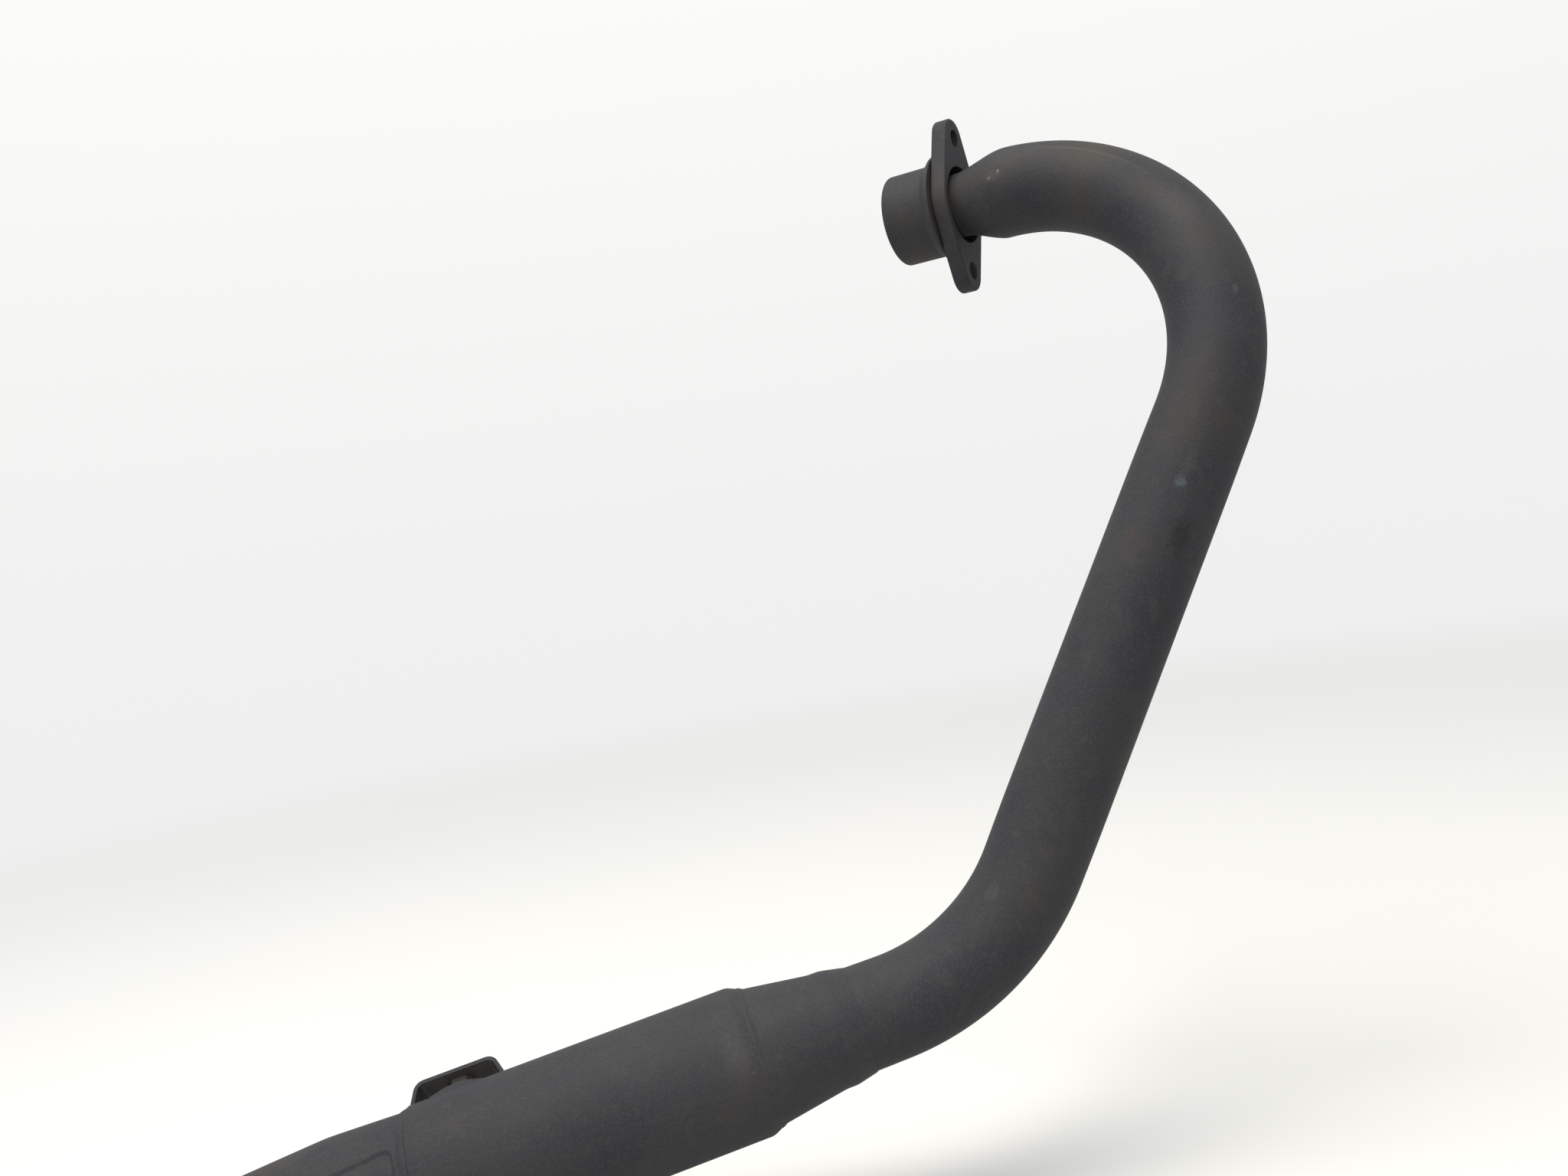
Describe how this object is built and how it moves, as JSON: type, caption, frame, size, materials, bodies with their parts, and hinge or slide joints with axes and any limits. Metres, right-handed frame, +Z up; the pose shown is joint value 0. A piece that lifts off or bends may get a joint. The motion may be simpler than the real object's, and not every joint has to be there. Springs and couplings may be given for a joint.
{
  "type": "motorcycle muffler",
  "caption": "Black motorcycle muffler: bent header tube with a loose port flange, coned front can with a welded bracket, tapering stamped rear shell and tail pipe.",
  "frame": {"origin": "centre of the flange's port-side face, on the axis of the exhaust port", "axes": "+X along the port axis, out of the engine into the header; +Z up, along the flange's two holes; -Y towards the outer side"},
  "size_m": [0.5018, 0.4543, 0.481],
  "materials": {
    "heat_paint": "matte",
    "bare_steel": "satin"
  },
  "bodies": {
    "muffler": {"port_spigot": "heat_paint", "header_pipe": "heat_paint", "inlet_cone": "heat_paint", "can_shell": "heat_paint", "hanger_bracket": "heat_paint", "hanger_nut": "heat_paint", "rear_shell": "heat_paint", "end_cap": "heat_paint", "tail_pipe": "heat_paint", "core_tube": "bare_steel", "front_baffle": "bare_steel", "middle_baffle": "bare_steel", "rear_baffle": "bare_steel", "crossover_tubes": "bare_steel"},
    "flange": {"port_flange": "heat_paint"}
  },
  "joints": [
    {"name": "flange_spin", "type": "hinge", "parent": "muffler", "child": "flange", "pos_m": [0, 0, 0], "axis": [1, 0, 0], "continuous": true}
  ]
}
